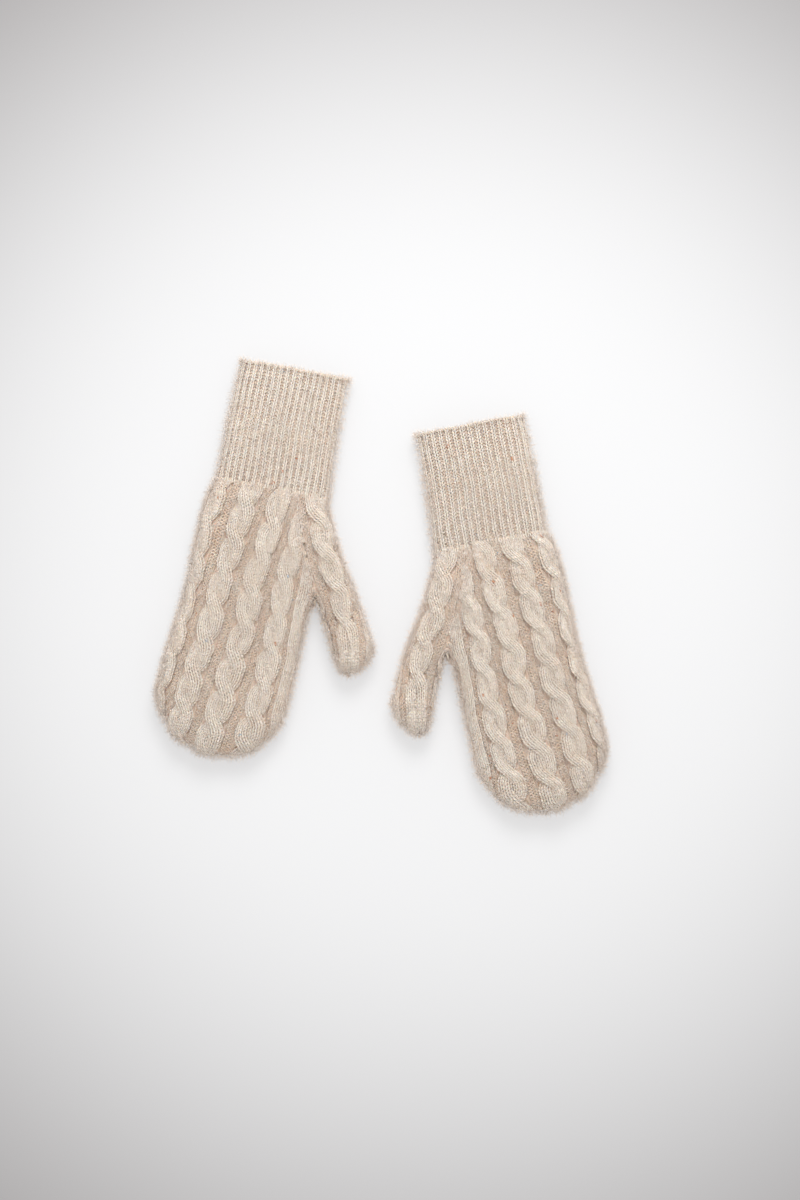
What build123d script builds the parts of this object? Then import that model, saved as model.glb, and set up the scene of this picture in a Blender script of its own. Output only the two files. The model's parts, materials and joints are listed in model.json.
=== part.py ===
"""A pair of cable-knit mittens, lying side by side on a flat surface, palms up.

The frame has +Z up and +Y towards the cuffs, and its origin is under the middle of the pair.
Each mitten is a soft shell, open at the cuff. It is knitted as a palm face and a back face,
which are linked all round the edge by a seam, and it bends at the wrist, at the knuckles and
at the root of the thumb, where the pieces have a running gap. Both mittens are the same
knitting: the right one is the left one's mirror image in plan.
"""

import os
from math import cos, radians, sin

from build123d import *

# One mitten in plan, mm: x runs across it, towards the thumb, and t from the cuff's edge to
# the finger tips.
LENGTH = 293.0
TIP_RADIUS = 49.5
CROTCH_RADIUS = 3.0
CUFF_OUTER_X = -44.0
CUFF_THUMB_X = 35.5

# Corners of the edge between the two ends of the cuff: x, t and the radius of the corner.
EDGE_CORNERS = [
    (-46.5, 84.0, 60.0),
    (-51.5, 108.0, 60.0),
    (-53.5, 180.0, 200.0),
    (-59.5, 225.0, 100.0),
    (-60.5, LENGTH, TIP_RADIUS),
    (41.0, LENGTH, TIP_RADIUS),
    (42.3, 160.5, CROTCH_RADIUS),
    (69.5, 219.5, 13.5),
    (100.0, 199.0, 21.0),
    (39.0, 97.0, 25.0),
]

# The shell in section, mm
THICKNESS = 24.0
WALL = 5.0
OUTER_ROUND = 10.5
INNER_ROUND = 5.5
SEAM_HEIGHT = 1.2

# Where the pieces part, mm
CAST_ON_DEPTH = 3.0
WRIST_T = 88.0
KNUCKLE_T = 185.0
THUMB_ROOT = (50.2, 182.9)
THUMB_LEAN = 28.0
BEND_GAP = 0.3

# A stretch longer than any part of the mitten, and the x that passes between hand and thumb
BEYOND = 150.0
CROTCH_X = 47.0

# How the pair lies: the hand it is for, the side its thumb is on, where the middle of the
# cuff's edge lies, and how far the mitten is turned about +Z
PAIR = [
    ("left", 1, (-60.0, 157.5), -10.8),
    ("right", -1, (57.7, 117.4), 10.7),
]
PAIR_CENTRE = (-1.357, -2.067)


def slab(seat, side, inset, mouth, low, high, edge_round):
    """The outline drawn in by inset, from mouth on, as a slab that is rounded except there."""
    corners = [(CUFF_OUTER_X, mouth), *[(x, t) for x, t, _ in EDGE_CORNERS], (CUFF_THUMB_X, mouth)]
    points = [(side * x, -t) for x, t in corners]
    with BuildPart() as body:
        with BuildSketch(seat.offset(low)):
            with BuildLine():
                FilletPolyline(*points, radius=[radius for _, _, radius in EDGE_CORNERS])
                Line(points[-1], points[0])
            make_face()
            if inset:
                offset(amount=-inset, mode=Mode.REPLACE)
        extrude(amount=high - low)
        towards_mouth = Axis(seat.origin, seat.y_dir)
        rims = [face.edges().sort_by(towards_mouth)[:-1] for face in body.faces().filter_by(Axis.Z)]
        fillet([edge for rim in rims for edge in rim], edge_round)
    return body.part


def band(side, start, end, edge_x=BEYOND):
    """A stretch of the mitten in plan, from t = start to t = end and up to x = edge_x."""
    corners = [(-BEYOND, start), (edge_x, start), (edge_x, end), (-BEYOND, end)]
    Polygon(*[(side * x, -t) for x, t in corners], align=None)


def thumb_patch(side, gap, mode=Mode.ADD):
    """The thumb in plan, past a line across its root that lies gap beyond the bend."""
    along = (sin(radians(THUMB_LEAN)), cos(radians(THUMB_LEAN)))
    across = (along[1], -along[0])
    reach = [(gap, -CROTCH_RADIUS), (gap, BEYOND), (BEYOND, BEYOND), (BEYOND, -CROTCH_RADIUS)]
    corners = [
        (THUMB_ROOT[0] + a * along[0] + c * across[0], THUMB_ROOT[1] + a * along[1] + c * across[1])
        for a, c in reach
    ]
    Polygon(*[(side * x, -t) for x, t in corners], align=None, mode=mode)


def cuff_edge_plan(side):
    band(side, -1.0, CAST_ON_DEPTH)


def cuff_plan(side):
    band(side, CAST_ON_DEPTH, WRIST_T - BEND_GAP / 2)


def hand_plan(side):
    band(side, WRIST_T + BEND_GAP / 2, KNUCKLE_T - BEND_GAP / 2)
    thumb_patch(side, -BEND_GAP / 2, mode=Mode.SUBTRACT)


def fingers_plan(side):
    band(side, KNUCKLE_T + BEND_GAP / 2, LENGTH + 1.0, edge_x=CROTCH_X)


def thumb_plan(side):
    thumb_patch(side, BEND_GAP / 2)


SEAM_LOW = (THICKNESS - SEAM_HEIGHT) / 2
SEAM_HIGH = (THICKNESS + SEAM_HEIGHT) / 2
PALM = (SEAM_HIGH, THICKNESS)
SEAM = (SEAM_LOW, SEAM_HIGH)
BACK = (0.0, SEAM_LOW)

PIECES = [
    ("cuff_edge", cuff_edge_plan, (0.0, THICKNESS)),
    ("cuff_palm", cuff_plan, PALM),
    ("cuff_back", cuff_plan, BACK),
    ("cuff_seams", cuff_plan, SEAM),
    ("hand_palm", hand_plan, PALM),
    ("hand_back", hand_plan, BACK),
    ("hand_seams", hand_plan, SEAM),
    ("fingers_palm", fingers_plan, PALM),
    ("fingers_back", fingers_plan, BACK),
    ("tip_seam", fingers_plan, SEAM),
    ("thumb_palm", thumb_plan, PALM),
    ("thumb_back", thumb_plan, BACK),
    ("thumb_seam", thumb_plan, SEAM),
]

os.makedirs("parts", exist_ok=True)

for hand, side, (cuff_x, cuff_y), turn in PAIR:
    cuff_middle = (cuff_x - PAIR_CENTRE[0], cuff_y - PAIR_CENTRE[1], 0)
    seat = Plane(cuff_middle, x_dir=(cos(radians(turn)), sin(radians(turn)), 0), z_dir=(0, 0, 1))

    with BuildPart() as shell:
        add(slab(seat, side, 0, 0, 0, THICKNESS, OUTER_ROUND))
        hollow = slab(seat, side, WALL, -BEYOND, WALL, THICKNESS - WALL, INNER_ROUND)
        add(hollow, mode=Mode.SUBTRACT)

    for name, plan, (low, high) in PIECES:
        with BuildPart() as piece:
            add(shell.part)
            with BuildSketch(seat.offset(low)):
                plan(side)
            extrude(amount=high - low, mode=Mode.INTERSECT)
        piece.part.label = f"{hand}_{name}"
        export_step(piece.part, f"parts/{piece.part.label}.step")
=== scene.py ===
"""A pair of cable-knit mittens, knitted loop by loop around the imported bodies.

Each mitten has a ribbed cuff, a hand and finger part with cables on a purl ground, and a thumb whose
own cable runs from the wrist to its tip. Every loop of yarn is a tube. The fabric under the loops,
the seams, the cast-on edge and the brushed nap are pieces of their own. Lengths are in millimetres
until to_row() turns them into metres of the row frame.
"""

import json
import math

import bpy
import numpy as np
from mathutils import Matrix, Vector


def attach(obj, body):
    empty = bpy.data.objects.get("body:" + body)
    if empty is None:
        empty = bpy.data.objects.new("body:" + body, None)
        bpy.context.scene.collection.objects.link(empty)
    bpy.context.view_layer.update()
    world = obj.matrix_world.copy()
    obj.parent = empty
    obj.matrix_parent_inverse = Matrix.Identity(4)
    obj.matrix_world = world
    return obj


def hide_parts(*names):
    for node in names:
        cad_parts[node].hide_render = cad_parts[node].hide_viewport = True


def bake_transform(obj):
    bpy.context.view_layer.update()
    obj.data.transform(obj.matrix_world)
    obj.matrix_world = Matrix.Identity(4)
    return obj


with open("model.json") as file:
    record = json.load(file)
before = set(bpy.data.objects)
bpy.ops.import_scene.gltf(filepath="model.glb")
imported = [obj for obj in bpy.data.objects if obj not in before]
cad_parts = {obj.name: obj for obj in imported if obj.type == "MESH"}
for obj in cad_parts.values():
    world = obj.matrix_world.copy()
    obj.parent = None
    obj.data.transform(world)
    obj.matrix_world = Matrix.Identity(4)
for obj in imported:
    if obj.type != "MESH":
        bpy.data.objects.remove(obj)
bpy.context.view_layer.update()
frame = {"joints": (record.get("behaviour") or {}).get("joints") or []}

# ------------ one mitten in plan, mm

LENGTH = 293.0
TIP_ROUND = 49.5
EDGE_CORNERS = [
    (-46.5, 84.0, 60.0),
    (-51.5, 108.0, 60.0),
    (-53.5, 180.0, 200.0),
    (-59.5, 225.0, 100.0),
    (-60.5, LENGTH, TIP_ROUND),
    (41.0, LENGTH, TIP_ROUND),
    (42.3, 160.5, 0.8),
    (70.5, 216.5, 15.0),
    (102.0, 202.5, 19.0),
    (39.0, 97.0, 25.0),
]
CUFF_EDGE_X = (-44.0, 35.5)
WRIST_T = 88.0
KNUCKLE_T = 185.0
THUMB_ROOT = np.array([50.2, 182.9])
THUMB_LEAN = math.radians(28.0)
THUMB_ALONG = np.array([math.sin(THUMB_LEAN), math.cos(THUMB_LEAN)])
WRIST_MIDDLE_X = -4.0
BEYOND_MOUTH = 60.0

# The line where the hand's fabric meets the thumb's, from the wrist through the crotch
MEET_T = np.array([80.0, 96.0, 111.0, 167.0, 185.0, 215.0, 300.0])
MEET_X = np.array([14.0, 17.5, 21.8, 44.0, 48.0, 60.0, 110.0])
MEET_END_T = 170.0

# The thumb's cable follows a cubic curve through these four handles
THUMB_CABLE = np.array([(29.0, 80.0), (38.0, 128.0), (72.0, 160.0), (79.5, 221.0)])

# ------------ the fabric, mm

WALE = 3.0
COURSE = 2.45
YARN = 0.79
RIB_YARN = YARN * 0.95
EDGE_GAP = 0.6
LOOP_RISE = 2.15
LOOP_SWAY = 0.2
LOOP_DEPTH = 0.55
CABLE_PERIOD = 26.0
CABLE_LIFT = 2.5
CROSS_SPAN = 0.8
CABLE_WALES = 6
WALES_REPEAT = 8
STRAND_OFF = 4.5
CROWN_HALF = 11.5
STRAND_LIFT = 1.4
STRAND_HALF_WALES = 1.6
OVER_LIFT, UNDER_LIFT = 0.9, -1.5
OVER_SPREAD, UNDER_SPREAD = 0.3, 0.05
COLUMN_FOOT, COLUMN_RISE = -0.3, 1.9
PURL_LIFT = -0.4
FLAT_LIFT = 0.3
RIB_LIFT = (1.0, -0.7)
RIB_SPREAD = (1.22, 0.78)
EDGE_ROUND = 15.0
PALM_HEIGHT_T = np.array([-5.0, 0.0, 60.0, 88.0, 125.0, 240.0, 300.0])
PALM_HEIGHT = np.array([15.0, 15.5, 17.0, 18.0, 20.5, 20.5, 19.5])
BACK_HEIGHT = 2.6
RIM_HALF = 9.0
RIM_LIFT = 0.4
LIFT_FADE = 11.0
BACK_FLATTER = 0.55
WRIST_FADE = 12.0
MEET_FADE = 8.0
CROTCH = (42.3, 160.5)
NOTCH_WALLS = {-1: (-1.0, 0.0), 0: (0.0, 0.0), 1: (0.908, -0.419)}
NOTCH_LEAD = 3.0
NOTCH_REACH = 15.0
NOTCH_FADE = 5.0
CROTCH_REACH = 10.0
NAP_ROOM_T = np.array([0.0, 60.0, 100.0, 130.0, 180.0, 240.0])
NAP_ROOM = np.array([1.5, 1.9, 1.7, 2.8, 3.8, 4.4])
THUMB_NAP_ROOM = 2.7
NAP_ROOM_FADE = 38.0
NAP_RADIUS = (0.06, 0.13)
NAP_LENGTH = (2.6, 6.2)
NAP_MOUTH_SHARE = 0.12
NAP_INSIDE_T = 30.0
NAP_INSIDE_SHARE = 0.35
GROUND_TOP, GROUND_UNDER = -1.0, -3.2
GROUND_CLEARANCE = 0.4
CLEARANCE = 0.05

rng = np.random.default_rng(20)


def rounded_path(points, radii, step):
    """Straight runs joined by arcs: each corner is cut at radius / tan(half its angle) and turned about
    the point on its bisector, with arc points every step mm."""
    points = np.array(points, float)
    path = [points[:1]]
    for corner, before, after, radius in zip(points[1:-1], points[:-2], points[2:], radii):
        a = (before - corner) / np.linalg.norm(before - corner)
        b = (after - corner) / np.linalg.norm(after - corner)
        half = math.acos(np.clip(a @ b, -1, 1)) / 2
        centre = corner + (a + b) / np.linalg.norm(a + b) * radius / math.sin(half)
        start = corner + a * radius / math.tan(half) - centre
        turn = math.pi - 2 * half
        sign = math.copysign(1, a[1] * b[0] - a[0] * b[1])
        angle = np.linspace(0, sign * turn, max(3, int(radius * turn / step) + 2))[:, None]
        path.append(centre + start * np.cos(angle) + np.array([-start[1], start[0]]) * np.sin(angle))
    path.append(points[-1:])
    return np.concatenate(path)


def edge_path(end_t):
    """The mitten's edge in plan, from the cuff's outer edge at end_t round to its inner edge there."""
    corners = [(CUFF_EDGE_X[0], end_t), *[(x, t) for x, t, _ in EDGE_CORNERS], (CUFF_EDGE_X[1], end_t)]
    return rounded_path(corners, [radius for _, _, radius in EDGE_CORNERS], 1.0)


def unit(ways):
    """The ways, each brought to length 1."""
    return ways / np.maximum(np.linalg.norm(ways, axis=1), 1e-9)[:, None]


def arc_lengths(path):
    """Length along a path up to each of its points."""
    return np.concatenate([[0], np.cumsum(np.linalg.norm(np.diff(path, axis=0), axis=1))])


# The outline goes straight on past the mouth, so that the mouth is no edge
OUTLINE = edge_path(-BEYOND_MOUTH)
GRID_X = np.arange(-76.0, 112.0, 1.0)
GRID_T = np.arange(-14.0, 314.0, 1.0)


def edge_distance():
    """Distance from each grid point to the outline, positive inside: the least distance to any of its
    straight bits, with its sign from how many bits a line to the side crosses."""
    x, t = np.meshgrid(GRID_X, GRID_T, indexing="ij")
    nearest = np.full(x.shape, 1e9)
    inside = np.zeros(x.shape, bool)
    for (ax, at), (bx, bt) in zip(OUTLINE[:-1], OUTLINE[1:]):
        dx, dt = bx - ax, bt - at
        along = np.clip(((x - ax) * dx + (t - at) * dt) / (dx * dx + dt * dt), 0, 1)
        nearest = np.minimum(nearest, (x - ax - along * dx) ** 2 + (t - at - along * dt) ** 2)
        if dt:
            spans = (at > t) != (bt > t)
            inside ^= spans & (x < ax + (t - at) * dx / dt)
    return np.where(inside, 1, -1) * np.sqrt(nearest)


def blurred(values, times):
    """The grid averaged with its neighbours along both axes, times over."""
    for _ in range(times):
        for axis in (0, 1):
            values = (np.roll(values, 1, axis) + 2 * values + np.roll(values, -1, axis)) / 4
    return values


DISTANCE = edge_distance()
INWARD_X, INWARD_T = (blurred(g, 3) for g in np.gradient(blurred(DISTANCE, 2)))


def look_up(grid, x, t):
    """Bilinear value of a grid at points x, t."""
    i = np.clip(x - GRID_X[0], 0, len(GRID_X) - 1.001)
    j = np.clip(t - GRID_T[0], 0, len(GRID_T) - 1.001)
    i0, j0 = i.astype(int), j.astype(int)
    fi, fj = i - i0, j - j0
    low = grid[i0, j0] * (1 - fi) + grid[i0 + 1, j0] * fi
    high = grid[i0, j0 + 1] * (1 - fi) + grid[i0 + 1, j0 + 1] * fi
    return low * (1 - fj) + high * fj


# The fabric turns over the edge on a quarter ellipse, tabled by its arc length
TURN = np.linspace(0, math.pi / 2, 181)
TURN_IN = EDGE_ROUND * (1 - np.cos(TURN))
TURN_UP = np.sin(TURN)
TURN_ARC = np.concatenate([[0], np.cumsum(np.hypot(np.diff(TURN_IN), RIM_HALF * np.diff(TURN_UP)))])
TURN_OUT = np.cos(TURN) / EDGE_ROUND
TURN_OUT = TURN_OUT / np.hypot(TURN_OUT, np.sin(TURN) / RIM_HALF)
SPARE = TURN_ARC[-1] - EDGE_ROUND


def smooth(x):
    """Smoothstep from 0 at x = 0 to 1 at x = 1."""
    x = np.clip(x, 0, 1)
    return x * x * (3 - 2 * x)


def palm_height(x, t):
    """Height of the palm's ground above the table: a base by t with a slow swell."""
    swell = 0.5 * np.sin(0.045 * t + 0.05 * x + 0.6) + 0.4 * np.sin(0.021 * t - 0.07 * x)
    return np.interp(t, PALM_HEIGHT_T, PALM_HEIGHT) + swell


def uneven(x, t):
    """Hand-worked fabric is never quite straight: every place wanders by up to about 1 mm, as sums of
    slow sines of both coordinates."""
    calm = 0.35 + 0.65 * smooth((t - 70.0) / 40.0)
    wander_x = 0.5 * np.sin(0.11 * t + 0.07 * x) + 0.35 * np.sin(0.23 * t - 0.13 * x + 1.3)
    wander_t = 0.5 * np.sin(0.13 * x + 0.05 * t + 0.4) + 0.3 * np.sin(0.29 * x + 0.11 * t)
    return x + calm * wander_x, t + calm * wander_t


def nap_room(x, t):
    """How far the fabric keeps inside the outline, so that its nap ends there: nothing at the crotch,
    by a bell about it, and more towards the tip."""
    near = np.exp(-((x - CROTCH[0]) ** 2 + (t - CROTCH[1]) ** 2) / CROTCH_REACH**2)
    room = np.interp(t, NAP_ROOM_T, NAP_ROOM)
    room = np.where(x > np.interp(t, MEET_T, MEET_X), np.minimum(room, THUMB_NAP_ROOM), room)
    return room * (1 - near)


def on_fabric(x, t, face, lift, wall=0):
    """Point and outward direction for flat pattern places x, t on the palm (face 1) or back (face -1),
    raised by lift. The flat pattern reaches SPARE past the outline, and a place at distance s from the
    pattern's edge lies at arc length s up the quarter ellipse, then on the level. In the notch by the
    thumb the pattern has less room, so what there is stretches over the same arc, on the hand's wall
    (wall -1) or the thumb's (wall 1)."""
    x, t = uneven(x, t)
    inward_x, inward_t = look_up(INWARD_X, x, t), look_up(INWARD_T, x, t)
    size = np.maximum(np.hypot(inward_x, inward_t), 0.3)
    to_meet = np.maximum(wall * (x - np.interp(t, MEET_T, MEET_X)), 0)
    past_notch = smooth((t - CROTCH[1] + NOTCH_LEAD) / NOTCH_FADE)
    in_notch = abs(wall) * past_notch * smooth((NOTCH_REACH - to_meet) / NOTCH_FADE)
    inward_x = inward_x / size * (1 - in_notch) + in_notch * NOTCH_WALLS[wall][0]
    inward_t = inward_t / size * (1 - in_notch) + in_notch * NOTCH_WALLS[wall][1]
    distance = look_up(DISTANCE, x, t)
    room = np.clip(to_meet - distance, 1e-3, SPARE)
    arc = np.where((in_notch > 0.5) & (distance < 0), SPARE * (1 + distance / room), distance + SPARE)
    arc = np.clip(arc, 0, np.maximum(distance, 0) + SPARE)
    turning = arc < TURN_ARC[-1]
    shift = np.where(turning, np.interp(arc, TURN_ARC, TURN_IN) - distance, 0)
    rise = np.interp(arc, TURN_ARC, TURN_UP)
    out = np.where(turning, np.interp(arc, TURN_ARC, TURN_OUT), 0)
    top = palm_height(x, t)
    middle, half = (top + BACK_HEIGHT) / 2, (top - BACK_HEIGHT) / 2
    way = np.stack([-inward_x * out, -inward_t * out, face * np.sqrt(1 - out * out)], -1)
    place = np.stack([x + inward_x * shift, t + inward_t * shift, middle + face * half * rise], -1)
    lift = np.asarray(lift) * (RIM_LIFT + (1 - RIM_LIFT) * smooth(arc / LIFT_FADE))
    pull = nap_room(x, t) * (1 - smooth(arc / NAP_ROOM_FADE))
    place += np.stack([inward_x, inward_t, 0 * x], -1) * pull[..., None]
    if face < 0:
        lift = lift * np.where(lift > 0, 1 - BACK_FLATTER * rise, 1)
    return place + way * lift[..., None], way


def stretch_of(inside, low, high, samples=900):
    """First and last place from low to high, for each row, at which inside(row places) holds."""
    places = np.linspace(low, high, samples)
    holds = inside(places)
    first = np.argmax(holds, axis=1)
    last = samples - 1 - np.argmax(holds[:, ::-1], axis=1)
    return places[first], places[last], holds.any(axis=1)


# ------------ sheets of fabric
# A sheet maps u, across its wales, and v, along them, to flat pattern places x, t.


def hand_place(u, v):
    """Wales drift to the outer side towards the tip, less so in the finger part, fan out on the thumb's
    side, and crowd at the outer edge, where the outermost cable keeps to the edge above the wrist."""
    drift = 5.0 - 0.118 * (v - 96.0)
    back = 4.0 * smooth((v - 150.0) / 60.0) * (0.3 + 0.7 * smooth((u + 36.0) / 36.0))
    fan = (0.062 * (v - 96.0) - 6.0) / 24.0
    outermost = (2.0 + 3.5 * np.exp(-(((v - 125.0) / 35.0) ** 2))) * smooth((-33.0 - u) / 9.0)
    across = np.where(u < -33.0, -33.0 + 0.7 * (u + 33.0), u) - outermost
    return across + drift + back + np.maximum(u, 0) * fan, v + 0 * u


CABLE_SPAN = np.linspace(0, 1, 401)[:, None]
CABLE_LINE = (
    (1 - CABLE_SPAN) ** 3 * THUMB_CABLE[0]
    + 3 * (1 - CABLE_SPAN) ** 2 * CABLE_SPAN * THUMB_CABLE[1]
    + 3 * (1 - CABLE_SPAN) * CABLE_SPAN**2 * THUMB_CABLE[2]
    + CABLE_SPAN**3 * THUMB_CABLE[3]
)
CABLE_ARC = arc_lengths(CABLE_LINE)
CABLE_WAY = np.gradient(CABLE_LINE, CABLE_ARC, axis=0)


def thumb_place(u, v):
    """Wales run beside the thumb's cable line, which is a cubic curve: u lies square to it."""
    x, t = (np.interp(v, CABLE_ARC, CABLE_LINE[:, i]) for i in (0, 1))
    way_x, way_t = (np.interp(v, CABLE_ARC, CABLE_WAY[:, i]) for i in (0, 1))
    past = np.maximum(v - CABLE_ARC[-1], 0)
    return x + u * way_t + past * way_x, t - u * way_x + past * way_t


def in_hand(x, t):
    """Whether flat pattern places are in the hand's or the fingers' sheet."""
    return (look_up(DISTANCE, x, t) > -SPARE) & (x < np.interp(t, MEET_T, MEET_X))


def in_thumb(x, t):
    """Whether flat pattern places are in the sheet of the thumb and its root."""
    return (look_up(DISTANCE, x, t) > -SPARE) & (x >= np.interp(t, MEET_T, MEET_X)) & (t > WRIST_T)


def past_root(x, t):
    """Distance beyond the bend at the thumb's root."""
    return (x - THUMB_ROOT[0]) * THUMB_ALONG[0] + (t - THUMB_ROOT[1]) * THUMB_ALONG[1]


CUFF_ROWS = np.arange(0.0, WRIST_T + 0.1, 2.0)
CUFF_FIRST, CUFF_LAST, _ = stretch_of(
    lambda x: look_up(DISTANCE, x[None, :] + 0 * CUFF_ROWS[:, None], CUFF_ROWS[:, None] + 0 * x) > -SPARE,
    -70.0,
    60.0,
)
# Cubics through the ends of the rows, so that the edge ribs run smoothly
CUFF_FIRST, CUFF_LAST = (
    np.polyval(np.polyfit(CUFF_ROWS, ends, 3), CUFF_ROWS) for ends in (CUFF_FIRST, CUFF_LAST)
)


def cuff_place(u, v):
    """u runs from 0 to 1 between the two edges of the cuff."""
    first, last = (np.interp(v, CUFF_ROWS, ends) for ends in (CUFF_FIRST, CUFF_LAST))
    return first + (last - first) * u, v + 0 * u


WALL_OF_SHEET = {hand_place: -1, thumb_place: 1, cuff_place: 0}


def wrist_rise(t):
    """The share of their full height that loops have reached at t, from a quarter at the wrist."""
    return 0.25 + 0.75 * smooth((t - WRIST_T) / WRIST_FADE)



# ------------ the knitting


def cable_shape(wale, v, row_v, xi, cross_t, last_cross, over_left):
    """Offset and lift of a loop in a six-wale cable. Two strands of three wales change sides once a
    period on a smoothstep, one over the other, up to the last crossing, past which they run side by
    side, and each strand and the whole cable are crowned."""
    start = cross_t - CABLE_PERIOD / 2
    turn = np.floor((row_v - start) / CABLE_PERIOD)
    phase = (v - start) / CABLE_PERIOD - turn
    crossing = (phase - (1 - CROSS_SPAN) / 2) / CROSS_SPAN
    crossing = np.where(row_v > last_cross + CABLE_PERIOD / 2, 0, crossing)
    swap = smooth(crossing)
    bump = np.sin(math.pi * np.clip(crossing, 0, 1))
    right = wale >= 3
    centre = np.where(right, 1, -1) * STRAND_OFF * (1 - 2 * swap)
    over = right != over_left
    inner = wale % 3 - 1 + xi
    across = centre + WALE * inner * (1 + bump * np.where(over, OVER_SPREAD, UNDER_SPREAD))
    crown = CABLE_LIFT * np.sqrt(np.clip(1 - (across / CROWN_HALF) ** 2, 0, 1))
    strand = STRAND_LIFT * (1 - (inner / STRAND_HALF_WALES) ** 2)
    lift = crown + strand + bump * np.where(over, OVER_LIFT, UNDER_LIFT)
    return across, lift


def loop_shape(samples):
    """One loop, with s from 0 to 1: s + sway sin(4 pi s) wales across from its middle, rise cos(2 pi s)
    along, and depth -cos(4 pi s), which is turned over on a purl wale."""
    s = np.arange(samples) / samples
    xi = s - 0.5 + LOOP_SWAY * np.sin(4 * math.pi * s)
    return xi, LOOP_RISE * np.cos(2 * math.pi * s), -LOOP_DEPTH * np.cos(4 * math.pi * s)


def yarn_table(points, ways, starts, painted_shade_and_tone, piece):
    """Points of yarn in one long table, with their outward ways, True where a run starts, each point's
    painted shade (0 to 1, darker in the recesses) and the number of its piece."""
    return {"points": points, "ways": ways, "starts": starts, "painted_shade_and_tone": painted_shade_and_tone, "piece": piece}


def knit(place, inside, kinds, rows, face, over_left, samples, piece_of):
    """Loops of yarn for a sheet, a row of them for each course. A run of yarn breaks off where its
    strand, its piece or the sheet ends."""
    wale, kind, slot_in_cable, centre, cross_t, last_cross = kinds
    xi, along, depth = loop_shape(samples)
    row_v = rows[:, None, None] + np.zeros((1, len(wale), 1))
    v = row_v + along
    w = wale[None, :, None]
    plain = WALE * (w + 0.5 + xi) + 0 * v
    across, cable = cable_shape(
        slot_in_cable[None, :, None], v, row_v, xi, cross_t[None, :, None], last_cross, over_left
    )
    is_cable = (kind == 2)[None, :, None]
    is_purl = (kind == 1)[None, :, None]
    u = np.where(is_cable, centre[None, :, None] + across, plain)
    column = COLUMN_FOOT + COLUMN_RISE * np.cos(math.pi * xi) ** 2
    lift = np.where(is_cable, cable, np.where(is_purl, PURL_LIFT, column))
    lift = lift + np.where(is_purl, -depth, depth)
    middle_u = u.mean(2)
    middle_x, middle_t = place(middle_u, rows[:, None] + 0 * middle_u)
    good = inside(middle_x, middle_t)
    piece = piece_of(middle_x, middle_t)
    x, t = place(u, v)
    to_meet = np.where(t < MEET_END_T, np.abs(x - np.interp(t, MEET_T, MEET_X)), np.inf)
    lift = FLAT_LIFT + (lift - FLAT_LIFT) * smooth(to_meet / MEET_FADE) * wrist_rise(t)
    strand = np.where(kind == 2, centre * 10 + slot_in_cable // 3, -5)
    same = (strand[1:] == strand[:-1])[None, :] & (piece[:, 1:] == piece[:, :-1])
    same = same & good[:, 1:] & good[:, :-1]
    starts = np.concatenate([np.ones((len(rows), 1), bool), ~same], axis=1)
    starts = np.repeat(starts[:, :, None], samples, 2)
    starts[:, :, 1:] = False
    # Painted shade: plain loops darker towards their sides, purl wales dark, cable loops lighter the higher
    # they stand, and every point darker where its loop's depth term is lowest
    plain_painted_shade = 0.75 - 0.55 * np.cos(math.pi * xi) ** 2
    painted_shade_and_tone = np.where(is_cable, 0.5 - 0.085 * lift, np.where(is_purl, 0.8, plain_painted_shade))
    painted_shade_and_tone = painted_shade_and_tone - 0.6 * depth / LOOP_DEPTH
    keep = np.repeat(good[:, :, None], samples, 2).ravel()
    wall = WALL_OF_SHEET[place]
    points, ways = on_fabric(x.ravel()[keep], t.ravel()[keep], face, lift.ravel()[keep], wall)
    piece = np.repeat(piece[:, :, None], samples, 2).ravel()[keep]
    return yarn_table(points, ways, starts.ravel()[keep], np.clip(painted_shade_and_tone.ravel()[keep], 0, 1), piece)


def sheet_kinds(first, last, plain, cross_at, last_cross=np.inf):
    """Wale numbers and what each is: 0 plain knit, 1 purl, 2 cable. Wales repeat by eight, six of
    cable and two of purl, apart from the plain ones by the thumb's side and purl beyond them."""
    wale = np.arange(first, last)
    slot_in_cable = (wale + 3) % WALES_REPEAT
    kind = np.where(slot_in_cable < CABLE_WALES, 2, 1)
    kind = np.where(wale >= plain[0], 0, kind)
    kind = np.where(wale >= plain[1], 1, np.where(wale < OUTER_PLAIN_WALE, 0, kind))
    centre = WALE * (wale - slot_in_cable + 3.0)
    cross_t = np.select([centre == c for c in cross_at], list(cross_at.values()), 100.0)
    return wale, kind, slot_in_cable, centre, cross_t, last_cross


HAND_CROSSINGS = {-48.0: 121.0, -24.0: 104.0, 0.0: 113.0, 24.0: 128.0}
THUMB_CROSSINGS = {0.0: 25.0}
OUTER_PLAIN_WALE = -21
THUMB_LAST_CROSSING = 103.0
HAND_ROWS = np.arange(WRIST_T + COURSE / 2, LENGTH + SPARE, COURSE)
THUMB_ROWS = np.arange(COURSE / 2, CABLE_ARC[-1] + 10, COURSE)


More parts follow.
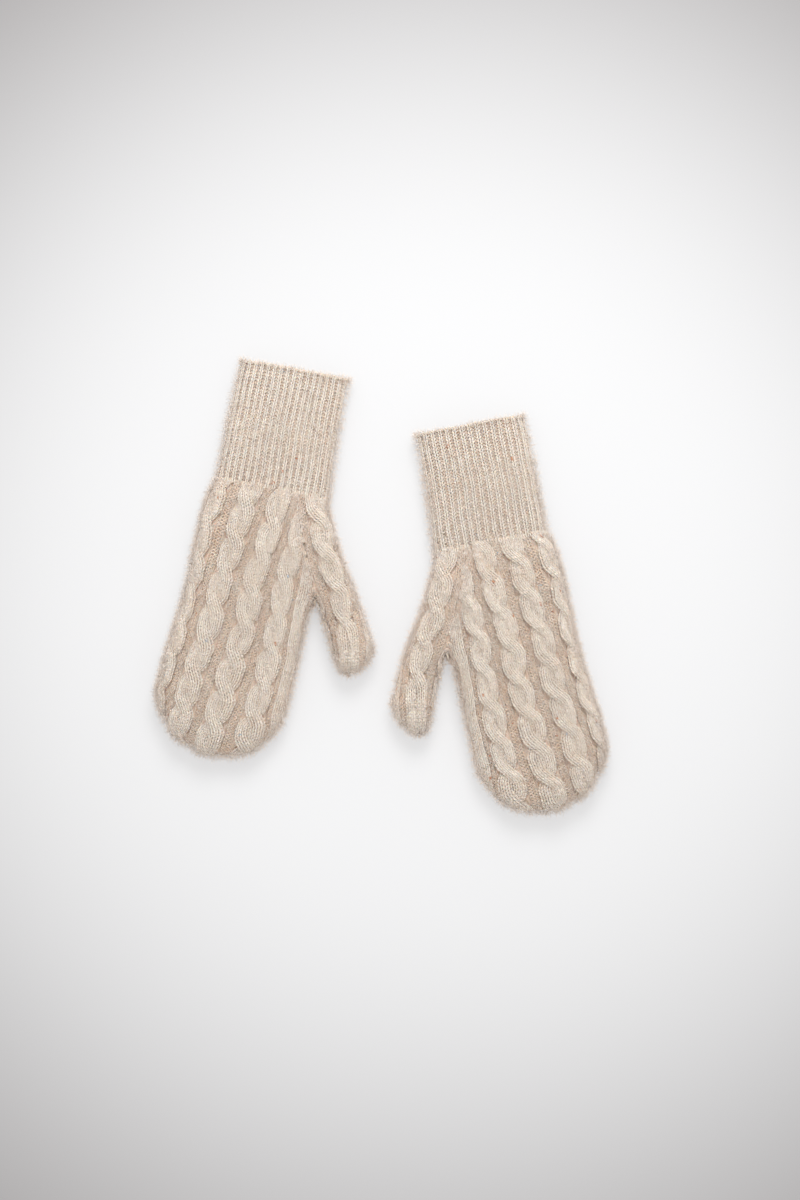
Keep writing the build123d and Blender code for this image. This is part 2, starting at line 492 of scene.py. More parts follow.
def rib_knit(mitten, face, samples):
    """One-by-one rib: knit wales stand forward and spread, purl wales lie back and close up, both less
    so in a band about the cuff's middle, which is worn flatter."""
    count = mitten["ribs"] * 2
    wale = np.arange(count)
    rows = np.arange(COURSE * 0.8, WRIST_T + COURSE * 0.3, COURSE)
    xi, along, depth = loop_shape(samples)
    front = (wale % 2 == 0)[None, :, None]
    spread = np.where(front, *RIB_SPREAD)
    u = (wale[None, :, None] + 0.5 + xi * spread) / count + 0 * rows[:, None, None]
    v = rows[:, None, None] + along + 0 * u
    worn = 1 - 0.35 * np.exp(-(((v - 48) / 16) ** 2))
    lift = np.where(front, RIB_LIFT[0] * worn + depth, RIB_LIFT[1] * worn - depth)
    x, t = cuff_place(u, v)
    points, ways = on_fabric(x.ravel(), t.ravel(), face, lift.ravel())
    starts = np.zeros(u.shape, bool)
    starts[:, 0, 0] = True
    # Painted shade: the rib's purl wales darker than its knit wales, and every point darker where its
    # loop's depth term is lowest
    painted_shade_and_tone = np.where(front, 0.25, 0.7) - 0.3 * depth / LOOP_DEPTH + 0 * v
    return yarn_table(points, ways, starts.ravel(), painted_shade_and_tone.ravel(), np.zeros(u.size, int))


# ------------ meshes

MM = 0.001
PLY_PITCH = 3.2
BLUE_SHARE = 0.0004
RUST_SHARE = 0.0006
FLECK_STEPS = 2
CORD_STEP = 0.7
RIM_STEP = 0.8
CROTCH_X = 46.0
SEAM_SIDES = 5


OWN_LIE = (
    dict(hand="left", side=1, ribs=18, shift=0.8, cuff_shift=1.4, mouth_reach=3.5)
    | dict(thumb_swing=0.03, thumb_reach=0.0),
    dict(hand="right", side=-1, ribs=16, shift=1.6, cuff_shift=1.6, mouth_reach=1.5)
    | dict(thumb_swing=0.15, thumb_reach=0.07),
)


def joint_named(name):
    """The frame's joint of that name."""
    return next(joint for joint in frame["joints"] if joint["name"] == name)


def mitten_frames():
    """Where each mitten lies, from its wrist joint: the joint's axis runs across the mitten, and the
    cuff is to the left of it, seen from above."""
    found = []
    for own in OWN_LIE:
        joint = joint_named(f"{own['hand']}_wrist_fold")
        across = np.array(joint["axis"][:2])
        to_cuff = np.array([-across[1], across[0]])
        wrist = np.array(joint["pos_m"][:2]) / MM
        origin = wrist - own["side"] * WRIST_MIDDLE_X * across + WRIST_T * to_cuff
        found.append({**own, "across": across, "to_cuff": to_cuff, "origin": origin})
    return found


def settled(mitten, x, t):
    """How each mitten happens to lie: the cuff shifts a little outwards and stretches towards its
    mouth, the tip draws in, and the thumb swings towards the hand about its root by a small angle."""
    cuff = -mitten["shift"] - mitten["cuff_shift"] * smooth((WRIST_T - t) / 45.0)
    reach = 2.0 * smooth((t - 150.0) / 140.0) + mitten["mouth_reach"] * smooth((WRIST_T - t) / WRIST_T)
    past = np.maximum(past_root(x, t), 0)
    on_thumb = smooth((x - np.interp(t, MEET_T, MEET_X)) / 3.0)
    swing, extra = mitten["thumb_swing"] * past * on_thumb, mitten["thumb_reach"] * past * on_thumb
    x = x + cuff - swing * THUMB_ALONG[1] + extra * THUMB_ALONG[0]
    return x, t - reach + swing * THUMB_ALONG[0] + extra * THUMB_ALONG[1]


def to_row(mitten, places):
    """Mitten places (x, t, z) in mm as row places in metres."""
    x, t = settled(mitten, places[..., :1], places[..., 1:2])
    plan = mitten["origin"] + mitten["side"] * x * mitten["across"] - t * mitten["to_cuff"]
    return np.concatenate([plan, places[..., 2:]], -1) * MM


def turned(mitten, ways):
    """Mitten directions as row directions."""
    plan = mitten["side"] * ways[..., :1] * mitten["across"] - ways[..., 1:2] * mitten["to_cuff"]
    return np.concatenate([plan, ways[..., 2:]], -1)


def mesh_object(name, points, faces, attributes=None, smooth_shade=True):
    """A mesh from points and arrays of faces, one array for each number of corners."""
    mesh = bpy.data.meshes.new(name)
    mesh.vertices.add(len(points))
    mesh.vertices.foreach_set("co", points.astype(np.float32).ravel())
    corners = np.concatenate([f.ravel() for f in faces]).astype(np.int32)
    sizes = np.concatenate([np.full(len(f), f.shape[1]) for f in faces])
    mesh.loops.add(len(corners))
    mesh.loops.foreach_set("vertex_index", corners)
    mesh.polygons.add(len(sizes))
    mesh.polygons.foreach_set("loop_start", np.concatenate([[0], np.cumsum(sizes)[:-1]]).astype(np.int32))
    mesh.update(calc_edges=True)
    mesh.validate()
    for key, values in (attributes or {}).items():
        layer = mesh.attributes.new(key, "FLOAT", "POINT")
        layer.data.foreach_set("value", values.astype(np.float32))
    if smooth_shade:
        mesh.shade_smooth()
    made = bpy.data.objects.new(name, mesh)
    bpy.context.scene.collection.objects.link(made)
    return made


def outward(points, quads):
    """The faces, all turned over if the volume that they enclose comes out negative."""
    a, b, c, d = (points[quads[:, i]] for i in range(4))
    halves = (np.einsum("ij,ij->i", a, np.cross(p, q)).sum() for p, q in ((b, c), (c, d)))
    return quads if sum(halves) > 0 else quads[:, ::-1]


def tubes(points, ups, starts, radius, sides):
    """Tubes along runs of points: at each point a ring of sides corners about the run's direction, which
    is the difference of its neighbours, and a flat cap at both ends."""
    count = len(points)
    ends = np.append(starts[1:], True)
    ahead = np.where(ends[:, None], points, np.roll(points, -1, 0))
    behind = np.where(starts[:, None], points, np.roll(points, 1, 0))
    way = unit(ahead - behind)
    across = unit(np.cross(way, ups))
    up = np.cross(across, way)
    angle = 2 * math.pi * (np.arange(sides) + 0.5) / sides + math.pi
    ring = up[:, None] * np.cos(angle)[:, None] - across[:, None] * np.sin(angle)[:, None]
    corners = points[:, None] + ring * np.asarray(radius).reshape(-1, 1, 1)
    index = np.arange(count * sides).reshape(count, sides)
    here, there = index[:-1][~ends[:-1]], index[1:][~ends[:-1]]
    quads = np.stack([here, np.roll(here, -1, 1), np.roll(there, -1, 1), there], -1).reshape(-1, 4)
    caps = np.concatenate([index[starts][:, ::-1], index[ends]])
    return corners.reshape(-1, 3), quads, caps


def yarn_tone(count, starts):
    """Heather along the yarn, a slow random walk in tone, and the few loops that carry a coloured
    fleck: 1 for blue, -1 for rust."""
    tone = rng.normal(0, 1, count)
    for _ in range(3):
        tone = (tone + np.roll(tone, 1) + np.roll(tone, -1)) / 1.9
    fleck = np.zeros(count)
    seeds = rng.random(count)
    for share, sign in ((BLUE_SHARE, 1.0), (RUST_SHARE, -1.0)):
        at = np.flatnonzero(seeds < share) if sign > 0 else np.flatnonzero(seeds > 1 - share)
        for step in range(FLECK_STEPS):
            fleck[np.clip(at + step, 0, count - 1)] = sign
    return tone, fleck


def yarn_object(mitten, name, yarn, sides, thickness=YARN):
    """One piece of yarn work from its table of points."""
    points = to_row(mitten, yarn["points"])
    points[:, 2] = np.maximum(points[:, 2], (thickness + CLEARANCE) * MM)
    starts = yarn["starts"].copy()
    starts[0] = True
    tone, fleck = yarn_tone(len(points), starts)
    radius = thickness * MM * (1 + 0.07 * tone + 0.2 * np.abs(fleck))
    corners, quads, caps = tubes(points, turned(mitten, yarn["ways"]), starts, radius, sides)
    steps = np.linalg.norm(np.diff(points, axis=0, prepend=points[:1]), axis=1)
    run = np.cumsum(np.where(starts, 0, steps))
    twist = run[:, None] / (PLY_PITCH * MM) + np.arange(sides) / sides
    corners[:, 2] = np.maximum(corners[:, 2], CLEARANCE * MM)
    attributes = {
        "painted_shade_and_tone": np.repeat(yarn["painted_shade_and_tone"], sides),
        "tone": np.repeat(tone, sides),
        "fleck": np.repeat(fleck, sides),
        "twist": twist.ravel(),
    }
    return mesh_object(name, corners, [quads, caps], attributes)


def joined(tables):
    """Yarn tables one after the other, as one."""
    return {key: np.concatenate([table[key] for table in tables]) for key in tables[0]}


def part_of(yarn, number):
    """The runs of a yarn table that belong to one piece."""
    keep = yarn["piece"] == number
    return {key: values[keep] for key, values in yarn.items()}


def slab(mitten, name, x, t, face, wall, inner):
    """The fabric under the loops: a grid of flat pattern places as a closed sheet between two depths,
    its outer and its inner one, with a strip of faces round the grid's edge."""
    rows, columns = x.shape
    depths = (np.full(x.size, GROUND_TOP), (inner + 0 * x).ravel())
    layers = [on_fabric(x.ravel(), t.ravel(), face, depth, wall)[0] for depth in depths]
    points = to_row(mitten, np.concatenate(layers))
    points[:, 2] = np.maximum(points[:, 2], GROUND_CLEARANCE * MM)
    index = np.arange(rows * columns).reshape(rows, columns)

    def cells(i):
        return np.stack([i[:-1, :-1], i[1:, :-1], i[1:, 1:], i[:-1, 1:]], -1).reshape(-1, 4)

    around = np.concatenate([index[0, :-1], index[:-1, -1], index[-1, :0:-1], index[:0:-1, 0]])
    after = np.roll(around, -1)
    strip = np.stack([around, after, after + x.size, around + x.size], -1)
    quads = np.concatenate([cells(index)[:, ::-1], cells(index) + x.size, strip[:, ::-1]])
    return mesh_object(name, points, [outward(points, quads)])


# ------------ materials


def node_group(name, inputs, outputs):
    """A shader node group with float or colour sockets."""
    group = bpy.data.node_groups.new(name, "ShaderNodeTree")
    for socket, kind, value in inputs:
        made = group.interface.new_socket(socket, in_out="INPUT", socket_type=kind)
        made.default_value = value
    for socket, kind in outputs:
        group.interface.new_socket(socket, in_out="OUTPUT", socket_type=kind)
    return group, group.nodes.new("NodeGroupInput"), group.nodes.new("NodeGroupOutput")


def feed(node, sockets, values):
    """Links or sets each of the node's input sockets."""
    for socket, value in zip(sockets, values):
        if isinstance(value, bpy.types.NodeSocket):
            node.id_data.links.new(value, socket)
        else:
            socket.default_value = value


def math_node(nodes, operation, *values):
    """The result of a math operation on sockets or numbers."""
    node = nodes.new("ShaderNodeMath")
    node.operation = operation
    feed(node, node.inputs, values)
    return node.outputs[0]


def mix_colour(nodes, factor, a, b):
    """Colour a mixed into colour b by the factor."""
    node = nodes.new("ShaderNodeMix")
    node.data_type = "RGBA"
    feed(node, (node.inputs[0], node.inputs[6], node.inputs[7]), (factor, a, b))
    return node.outputs[2]


def noise(nodes, vector, scale, detail=2.0):
    """Smooth noise, scale times a metre."""
    node = nodes.new("ShaderNodeTexNoise")
    node.inputs["Scale"].default_value = scale
    node.inputs["Detail"].default_value = detail
    node.id_data.links.new(vector, node.inputs["Vector"])
    return node.outputs["Fac"]


def attribute(nodes, name):
    """A value that the mesh carries."""
    node = nodes.new("ShaderNodeAttribute")
    node.attribute_name = name
    return node.outputs["Fac"]


RGBA = "NodeSocketColor"
FLOAT = "NodeSocketFloat"


def principled(name):
    """A new material with its nodes, links and Principled shader."""
    material = bpy.data.materials.new(name)
    material.use_nodes = True
    tree = material.node_tree
    return material, tree.nodes, tree.links, tree.nodes["Principled BSDF"]


def heather_group():
    """Heathered wool: two tones mixed by fibre-sized and hand-sized noise, with painted shade that moves
    recesses and the ply's grooves towards the deep tone, and blue and rust flecks by sign."""
    group, given, out = node_group(
        "heathered_wool",
        [
            ("Light", RGBA, (0.74, 0.62, 0.5, 1)),
            ("Deep", RGBA, (0.5, 0.36, 0.26, 1)),
            ("PaintedShadeAndTone", FLOAT, 0.5),
            ("Tone", FLOAT, 0.0),
            ("Fleck", FLOAT, 0.0),
            ("Twist", FLOAT, 0.0),
        ],
        [("Color", RGBA), ("Height", FLOAT), ("Roughness", FLOAT)],
    )
    nodes, links, given = group.nodes, group.links, given.outputs

    def scaled(value, by, plus):
        return math_node(nodes, "MULTIPLY_ADD", value, by, plus)

    place = nodes.new("ShaderNodeTexCoord").outputs["Object"]
    fibre = noise(nodes, place, 1500.0, 3.0)
    patch = noise(nodes, place, 45.0, 2.0)
    ply = math_node(nodes, "SINE", math_node(nodes, "MULTIPLY", given["Twist"], 2 * math.pi))
    # Painted shade: the attribute that marks recesses moves the colour towards the deep tone
    share = scaled(given["PaintedShadeAndTone"], 0.72, -0.08)
    share = scaled(given["Tone"], -0.07, share)
    share = scaled(math_node(nodes, "SUBTRACT", fibre, 0.5), 1.1, share)
    share = scaled(math_node(nodes, "SUBTRACT", patch, 0.5), 0.9, share)
    # Painted shade: the ply's grooves a little darker, on the same sine as the ply bump
    share = scaled(ply, -0.05, share)
    clamp = nodes.new("ShaderNodeClamp")
    links.new(share, clamp.inputs[0])
    wool = mix_colour(nodes, clamp.outputs[0], given["Light"], given["Deep"])
    blue = math_node(nodes, "GREATER_THAN", given["Fleck"], 0.5)
    rust = math_node(nodes, "LESS_THAN", given["Fleck"], -0.5)
    wool = mix_colour(nodes, math_node(nodes, "MULTIPLY", blue, 0.75), wool, (0.36, 0.47, 0.58, 1))
    wool = mix_colour(nodes, math_node(nodes, "MULTIPLY", rust, 0.8), wool, (0.5, 0.16, 0.05, 1))
    links.new(wool, out.inputs["Color"])
    height = scaled(ply, 0.35, fibre)
    links.new(height, out.inputs["Height"])
    links.new(scaled(fibre, 0.2, 0.72), out.inputs["Roughness"])
    return group


HEATHER = heather_group()


def wool(name, light, deep, sheen, from_attributes=True, bump=0.6):
    """Wool on a Principled shader: heathered colour from light to deep, fibre bump, a soft sheen and
    light that spreads some 4 mm under the surface, redder as it goes."""
    material, nodes, links, shader = principled(name)
    group = nodes.new("ShaderNodeGroup")
    group.node_tree = HEATHER
    group.inputs["Light"].default_value = (*light, 1)
    group.inputs["Deep"].default_value = (*deep, 1)
    if from_attributes:
        for socket, key in (("PaintedShadeAndTone", "painted_shade_and_tone"), ("Tone", "tone"), ("Fleck", "fleck"), ("Twist", "twist")):
            links.new(attribute(nodes, key), group.inputs[socket])
    links.new(group.outputs["Color"], shader.inputs["Base Color"])
    links.new(group.outputs["Roughness"], shader.inputs["Roughness"])
    relief = nodes.new("ShaderNodeBump")
    relief.inputs["Strength"].default_value = bump
    relief.inputs["Distance"].default_value = 0.0004
    links.new(group.outputs["Height"], relief.inputs["Height"])
    links.new(relief.outputs["Normal"], shader.inputs["Normal"])
    settings = {
        "Subsurface Weight": 0.35,
        "Subsurface Radius": (1.0, 0.55, 0.35),
        "Subsurface Scale": 0.004,
        "Sheen Weight": sheen,
        "Sheen Roughness": 0.5,
        "Sheen Tint": (1.0, 0.95, 0.9, 1),
        "Specular IOR Level": 0.2,
    }
    for key, value in settings.items():
        shader.inputs[key].default_value = value
    return material


# Each wool's deep tone is its heather's darker tone and also the colour of its painted shade
CABLE_WOOL = wool("cable_wool", (0.85, 0.715, 0.60), (0.84, 0.58, 0.42), 0.5)
RIB_WOOL = wool("rib_wool", (0.80, 0.675, 0.57), (0.79, 0.57, 0.44), 0.5)
# The grounds' tan is partly their own colour and partly painted shade: a shade darker than the loops' wool,
# it stands for the gaps between loops, and with no attributes its painted-shade share stays at the middle
GROUND_WOOL = wool(
    "ground_wool", (0.82, 0.66, 0.54), (0.73, 0.53, 0.41), 0.3, from_attributes=False, bump=1.0
)
CUFF_GROUND_WOOL = wool(
    "cuff_ground_wool", (0.77, 0.67, 0.58), (0.66, 0.53, 0.44), 0.3, from_attributes=False, bump=1.0
)
SEAM_WOOL = wool("seam_wool", (0.78, 0.64, 0.52), (0.6, 0.44, 0.34), 0.2)
NAP_WOOL = wool("nap_wool", (0.94, 0.83, 0.73), (0.90, 0.71, 0.56), 0.7, bump=0.1)

# ------------ making the mittens


def finish_piece(made, mitten, body, material, replaces=()):
    """Gives a piece its finish and hides the imported parts that it replaces. Hand pieces are tied to
    the hand's body; cuff, fingers and thumb pieces have their transform baked in."""
    made.data.materials.append(material)
    hand = f"{mitten['hand']}_hand"
    if body == "hand":
        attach(made, hand)
    else:
        name, reach = BENDS[body]
        joint = joint_named(f"{mitten['hand']}_{name}")
        start = Vector(joint["pos_m"])
        away = Vector((0, 0, 1)).cross(Vector(joint["axis"]))
        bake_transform(made)
    if replaces:
        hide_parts(*[f"{mitten['hand']}_{node}" for node in replaces])
    return made


BENDS = {
    "cuff": ("wrist_fold", 0.032),
    "fingers": ("finger_curl", 0.036),
    "thumb": ("thumb_curl", 0.024),
}
BODY_OF_SHEET = {0: "hand", 1: "fingers", 2: "thumb"}
FACES = (("palm", 1, 7, 4), ("back", -1, 6, 3))


def knitted_pieces(mitten):
    """The loops of every sheet, sorted into one piece for each face of each body."""
    hand_kinds = sheet_kinds(-23, 19, (12, 15), HAND_CROSSINGS)
    thumb_kinds = sheet_kinds(-9, 9, (5, 9), THUMB_CROSSINGS, THUMB_LAST_CROSSING)
    sheets = (
        (hand_place, in_hand, hand_kinds, HAND_ROWS, lambda x, t: (t > KNUCKLE_T).astype(int)),
        (thumb_place, in_thumb, thumb_kinds, THUMB_ROWS, lambda x, t: np.where(past_root(x, t) > 0, 2, 0)),
    )
    for face_name, face, samples, sides in FACES:
        over_left = mitten["side"] * face > 0
        tables = []
        for place, sheet, kinds, rows, piece_of in sheets:

            def inside(x, t):
                return sheet(x, t) & (look_up(DISTANCE, x, t) > EDGE_GAP - SPARE)

            tables.append(knit(place, inside, kinds, rows, face, over_left, samples, piece_of))
        yarn = joined(tables)
        for number, body in BODY_OF_SHEET.items():
            name = f"{mitten['hand']}_{body}_{face_name}_knit"
            made = yarn_object(mitten, name, part_of(yarn, number), sides)
            finish_piece(made, mitten, body, CABLE_WOOL, [f"{body}_{face_name}"])
        rib = rib_knit(mitten, face, samples)
        made = yarn_object(mitten, f"{mitten['hand']}_cuff_{face_name}_knit", rib, sides, RIB_YARN)
        finish_piece(made, mitten, "cuff", RIB_WOOL, [f"cuff_{face_name}"])


def sheet_grid(place, inside, rows, low, high, columns):
    """Flat pattern places on rows of a sheet, each from its first to its last place inside."""

    def test(places):
        return inside(*place(places[None, :] + 0 * rows[:, None], rows[:, None] + 0 * places[None, :]))

    first, last, any_inside = stretch_of(test, low, high)
    rows, first, last = rows[any_inside], first[any_inside], last[any_inside]
    u = first[:, None] + (last - first)[:, None] * np.linspace(0, 1, columns)
    return place(u, rows[:, None] + 0 * u)


def ground_pieces(mitten):
    """The fabric that the loops are worked in, one closed sheet for each face of each body, with rows
    that crowd together towards the tip."""
    tip_t = LENGTH + SPARE - 0.05
    tip_rows = tip_t - (tip_t - 250.0) * (1 - np.sin(np.linspace(0, math.pi / 2, 24)))
    tip_rows[-1] = tip_t - 0.02
    finger_rows = np.concatenate([np.arange(KNUCKLE_T, 250.0, 2.5), tip_rows])
    thumb_end = CABLE_ARC[-1] + 4.0
    root_v = float(np.interp(0, past_root(CABLE_LINE[:, 0], CABLE_LINE[:, 1]), CABLE_ARC))
    hand_rows = np.arange(WRIST_T, KNUCKLE_T + 0.1, 2.425)
    root_rows, thumb_rows = np.arange(9.0, root_v + 0.1, 2.0), np.arange(root_v, thumb_end, 1.5)
    columns = mitten["ribs"] * 6 + 1
    cuff_u, cuff_v = np.meshgrid(np.linspace(0, 1, columns), np.maximum(CUFF_ROWS[::2], 1.2))
    inside_ribs = GROUND_UNDER + 0.45 * np.cos(2 * math.pi * mitten["ribs"] * cuff_u)
    for face_name, face, _, _ in FACES:
        grids = [
            ("cuff", "cuff", 0, cuff_place(cuff_u, cuff_v)),
            ("hand", "hand", -1, sheet_grid(hand_place, in_hand, hand_rows, -75, 60, 60)),
            ("fingers", "fingers", -1, sheet_grid(hand_place, in_hand, finger_rows, -75, 75, 60)),
            ("hand", "thumb_root", 1, sheet_grid(thumb_place, in_thumb, root_rows, -40, 40, 30)),
            ("thumb", "thumb", 1, sheet_grid(thumb_place, in_thumb, thumb_rows, -40, 40, 30)),
        ]
        for body, part, wall, (x, t) in grids:
            name = f"{mitten['hand']}_{part}_{face_name}_ground"
            if body == "cuff":
                made = slab(mitten, name, x, t, face, wall, inside_ribs)
                finish_piece(made, mitten, body, CUFF_GROUND_WOOL)
            else:
                made = slab(mitten, name, x, t, face, wall, GROUND_UNDER)
                finish_piece(made, mitten, body, GROUND_WOOL)


def nap_object(mitten, name, roots, ways, lengths, stand):
    """Brushed fibres: each leaves its root near the way given and bends over by chance at its middle,
    where it is thickest, a closed spike of six faces with a point at both ends."""
    count = len(roots)
    lean = rng.normal(0, 1, (count, 3))
    lean -= ways * np.einsum("ij,ij->i", lean, ways)[:, None]
    first = unit(ways * (stand * rng.uniform(0.1, 0.9, count))[:, None] + lean * 0.6)
    second = unit(first + rng.normal(0, 0.55, (count, 3)))
    middle = roots + first * lengths[:, None] * 0.5
    tip = middle + second * lengths[:, None] * 0.5
    across = unit(np.cross(first, [0.31, 0.57, 0.76]))
    other = np.cross(first, across)
    angle = 2 * math.pi * np.arange(3) / 3
    ring = across[:, None] * np.cos(angle)[:, None] + other[:, None] * np.sin(angle)[:, None]
    thick = rng.uniform(*NAP_RADIUS, count)[:, None, None]
    corners = np.concatenate([roots[:, None], middle[:, None] + ring * thick, tip[:, None]], axis=1)
    corners = to_row(mitten, corners.reshape(-1, 3))
    corners[:, 2] = np.maximum(corners[:, 2], CLEARANCE * MM)
    base = 5 * np.arange(count)[:, None]
    low = [base + np.array([[0, 1 + (j + 1) % 3, 1 + j]]) for j in range(3)]
    high = [base + np.array([[1 + j, 1 + (j + 1) % 3, 4]]) for j in range(3)]
    triangles = np.concatenate(low + high)
    if mitten["side"] > 0:
        triangles = triangles[:, ::-1]
    # On the nap the painted-shade channel holds only a random tone for each fibre
    attributes = {"painted_shade_and_tone": np.repeat(rng.uniform(0, 1, count), 5)}
    return mesh_object(name, corners, [triangles], attributes)


def nap_lift(u, t, centres):
    """Height of the loops' tops above the ground: the cables' crowns about their centres, as they rise
    past the wrist, and the purl and plain wales between them."""
    off = np.min([np.abs(u - centre) for centre in centres], axis=0)
    crown = (CABLE_LIFT + 1.6) * np.sqrt(np.clip(1 - (off / 10.5) ** 2, 0, 1))
    return 0.5 + wrist_rise(t) * crown


def nap_pieces(mitten, thousands):
    """Nap scattered evenly over each sheet, with more along the rim, longer there. Some of the cuff's
    fibres crowd at the mouth, and some stand on its inside."""

    def on_hand(x, t):
        return in_hand(x, t) & (t < KNUCKLE_T)

    def on_thumb(x, t):
        return in_thumb(x, t) & (past_root(x, t) > 0)

    def on_root(x, t):
        return in_thumb(x, t) & (past_root(x, t) <= 0)

    sheets = (
        ("cuff", "cuff", cuff_place, lambda x, t: t > -0.5, (0.0, 1.0), (0.0, WRIST_T), 0.5),
        ("hand", "hand", hand_place, on_hand, (-75, 60), (WRIST_T, KNUCKLE_T), 1.1),
        ("fingers", "fingers", hand_place, in_hand, (-75, 75), (KNUCKLE_T, LENGTH + SPARE), 1.3),
        ("thumb", "thumb", thumb_place, on_thumb, (-40, 40), (90, 150), 0.34),
        ("hand", "thumb_root", thumb_place, on_root, (-40, 40), (5, 130), 0.8),
    )
    for face_name, face, _, _ in FACES:
        share = 1.0 if face > 0 else 0.6
        for body, part, place, inside, across, along, weight in sheets:
            count = int(thousands * 1000 * weight * share)
            u, v = rng.uniform(*across, count), rng.uniform(*along, count)
            v = np.where((body == "cuff") & (rng.random(count) < NAP_MOUTH_SHARE), v * 0.03, v)
            x, t = place(u, v)
            rim = np.clip(1 - (look_up(DISTANCE, x, t) + SPARE) / 12.0, 0, 1)
            good = inside(x, t) & (rng.random(count) < 0.34 + 0.45 * rim)
            u, x, t, rim = u[good], x[good], t[good], rim[good]
            centres = THUMB_CROSSINGS if place is thumb_place else HAND_CROSSINGS
            lift = 1.3 + 0 * u if body == "cuff" else nap_lift(u, t, centres)
            lift += rng.uniform(-0.9, 1.1, len(u))
            within = (body == "cuff") & (t < NAP_INSIDE_T) & (rng.random(len(u)) < NAP_INSIDE_SHARE)
            lift = np.where(within, -3.0, lift)
            roots, ways = on_fabric(x, t, face, lift, WALL_OF_SHEET[place])
            ways = ways * np.where(within, -1.0, 1.0)[:, None]
            ways = ways - np.array([0.0, 1.2, 0.0]) * np.clip(1 - t / 3.0, 0, 1)[:, None]
            lengths = rng.uniform(*NAP_LENGTH, len(u)) * (1 + 0.4 * rim) * np.where(within, 0.6, 1.0)
            name = f"{mitten['hand']}_{part}_{face_name}_nap"
            made = nap_object(mitten, name, roots, ways, lengths, 1 + rim)
            finish_piece(made, mitten, body, NAP_WOOL)


def plied_cord(mitten, name, path, out_ways, strand=0.5, pitch=5.0):
    """A cord of two strands turning about a path: each lies off it by its own radius, half a turn
    apart, one turn every pitch mm."""
    arc = arc_lengths(path)
    count = max(4, int(arc[-1] / CORD_STEP))
    s = np.linspace(0, arc[-1], count)
    line = np.stack([np.interp(s, arc, path[:, i]) for i in range(3)], -1)
    ways = unit(np.stack([np.interp(s, arc, out_ways[:, i]) for i in range(3)], -1))
    side = np.cross(unit(np.gradient(line, axis=0)), ways)
    starts = np.arange(count) == 0
    tables = []
    for half_turn in (0.0, math.pi):
        angle = 2 * math.pi * s / pitch + half_turn
        offset = ways * np.cos(angle)[:, None] + side * np.sin(angle)[:, None]
        points = line + offset * strand * 0.95
        tables.append(yarn_table(points, ways, starts, np.full(count, 0.2), np.zeros(count, int)))
    return yarn_object(mitten, name, joined(tables), SEAM_SIDES, strand)


def rim_path(keep):
    """The mitten's edge at half height where keep(x, t) holds, with its outward ways."""
    path = edge_path(0.0)
    arc = arc_lengths(path)
    s = np.arange(0, arc[-1], RIM_STEP)
    x, t = (np.interp(s, arc, path[:, i]) for i in (0, 1))
    good = keep(x, t)
    groups = np.split(np.flatnonzero(good), np.flatnonzero(np.diff(np.flatnonzero(good)) > 1) + 1)
    found = []
    for group in groups:
        if len(group) > 5:
            gx, gt = x[group], t[group]
            ways = unit(np.stack([-look_up(INWARD_X, gx, gt), -look_up(INWARD_T, gx, gt), 0 * gx], -1))
            middle = (palm_height(gx, gt) + BACK_HEIGHT) / 2
            found.append((np.stack([gx, gt, middle], -1) - ways * (0.2 + nap_room(gx, gt))[:, None], ways))
    return found


def seam_pieces(mitten):
    """Linked seams along the edge at half height, and the cast-on edge round the mouth, which rises
    and sinks with the ribs."""

    def on_hand(x, t):
        return (t >= WRIST_T) & np.where(x > CROTCH_X, past_root(x, t) <= 0, t < KNUCKLE_T)

    stretches = {
        "cuff": ("cuff_seams", lambda x, t: t < WRIST_T),
        "hand": ("hand_seams", on_hand),
        "fingers": ("tip_seam", lambda x, t: (t >= KNUCKLE_T) & (x < CROTCH_X)),
        "thumb": ("thumb_seam", lambda x, t: (x >= CROTCH_X) & (past_root(x, t) > 0)),
    }
    for body, (node, keep) in stretches.items():
        for number, (path, ways) in enumerate(rim_path(keep)):
            name = f"{mitten['hand']}_{node}_{number + 1}"
            made = plied_cord(mitten, name, path, ways)
            finish_piece(made, mitten, body, SEAM_WOOL, [node])
    u = np.linspace(0, 1, 16 * mitten["ribs"] + 1)
    x, t = cuff_place(u, 0.8 + 0 * u)
    lift = 0.2 + 0.8 * np.cos(2 * math.pi * (mitten["ribs"] * u - 0.25))
    palm, palm_ways = on_fabric(x, t, 1, lift)
    back, back_ways = on_fabric(x[::-1], t, -1, lift[::-1])
    path, ways = np.concatenate([palm, back]), np.concatenate([palm_ways, back_ways])
    made = plied_cord(mitten, f"{mitten['hand']}_cast_on_edge", path, ways, strand=0.8, pitch=4.4)
    finish_piece(made, mitten, "cuff", RIB_WOOL, ["cuff_edge"])


for mitten in mitten_frames():
    ground_pieces(mitten)
    knitted_pieces(mitten)
    seam_pieces(mitten)
    nap_pieces(mitten, 42.0)

# ------------ floor, light and camera


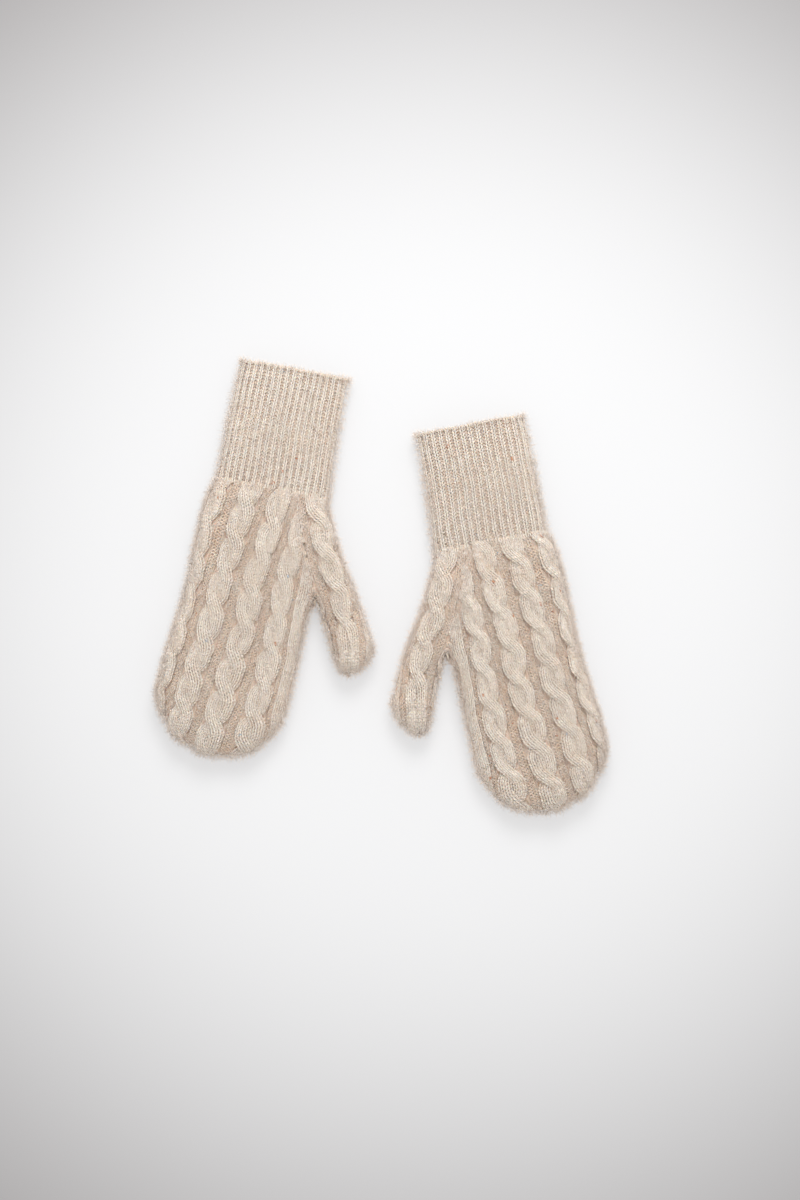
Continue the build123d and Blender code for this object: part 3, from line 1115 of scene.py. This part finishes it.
def floor_paint(name, colour):
    """A matt floor with painted light and shade: it glows a little with its own colour, even near the
    mittens, and is painted darker far off, as if the light fell off there.
    """
    material, nodes, links, shader = principled(name)
    shader.inputs["Roughness"].default_value = 0.9
    shader.inputs["Specular IOR Level"].default_value = 0.1
    place = nodes.new("ShaderNodeTexCoord").outputs["Object"]
    near = nodes.new("ShaderNodeMapRange")
    near.interpolation_type = "SMOOTHERSTEP"
    away = nodes.new("ShaderNodeVectorMath")
    away.operation = "DISTANCE"
    away.inputs[1].default_value = (0.035, 0.01, 0)
    links.new(place, away.inputs[0])
    links.new(away.outputs["Value"], near.inputs["Value"])
    near.inputs["From Min"].default_value = 0.12
    near.inputs["From Max"].default_value = 0.8
    grain = noise(nodes, place, 3.0)
    shade = math_node(nodes, "MULTIPLY_ADD", grain, 0.02, near.outputs["Result"])
    # Painted shade: far from the middle the colour falls to about a third, as if the light fell off
    edge = (*[c * fall for c, fall in zip(colour, (0.32, 0.30, 0.295))], 1)
    paint = mix_colour(nodes, shade, (*colour, 1), edge)
    links.new(paint, shader.inputs["Base Color"])
    # Painted light: the floor glows with its own colour, so the mittens' shadows on it stay faint
    links.new(paint, shader.inputs["Emission Color"])
    shader.inputs["Emission Strength"].default_value = 2.0
    return material


def floor():
    """A level square 40 m wide under the mittens."""
    corners = 20.0 * np.array([(-1, -1, 0), (1, -1, 0), (1, 1, 0), (-1, 1, 0)], float)
    made = mesh_object("floor", corners, [np.array([[0, 1, 2, 3]])], smooth_shade=False)
    made.data.materials.append(floor_paint("pale_floor", (0.276, 0.276, 0.278)))


def placed(name, data, place, way):
    """A lamp or camera at a place, facing along a way."""
    made = bpy.data.objects.new(name, data)
    made.location = place
    made.rotation_mode = "QUATERNION"
    made.rotation_quaternion = way.to_track_quat("-Z", "Y")
    bpy.context.scene.collection.objects.link(made)
    return made


def studio():
    """A large round lamp overhead, nearer the cuffs, and an even pale surround."""
    data = bpy.data.lights.new("overhead", "AREA")
    data.shape = "DISK"
    data.size = 0.8
    data.energy = 14.6
    place = Vector((0.1, 0.85, 1.1))
    placed("overhead", data, place, Vector((0, 0.05, 0)) - place)
    world = bpy.data.worlds.new("surround")
    world.use_nodes = True
    background = world.node_tree.nodes["Background"].inputs
    background["Color"].default_value = (1, 1, 1, 1)
    background["Strength"].default_value = 0.9
    bpy.context.scene.world = world
    bpy.context.scene.view_settings.view_transform = "Standard"


# The camera stands over the fingertips' side, a little off straight down
CAMERA_AIM = Vector((0.0142, -0.0081, 0.010))
CAMERA_ELEVATION = math.radians(82.0)
CAMERA_DISTANCE = 1.71
CAMERA_LENS = 70.0


def camera():
    """The camera, set back from its aim by its distance at its elevation."""
    data = bpy.data.cameras.new("camera")
    data.lens = CAMERA_LENS
    data.sensor_width = 36.0
    back = Vector((0, -math.cos(CAMERA_ELEVATION), math.sin(CAMERA_ELEVATION)))
    bpy.context.scene.camera = placed("camera", data, CAMERA_AIM + back * CAMERA_DISTANCE, -back)


floor()
studio()
camera()
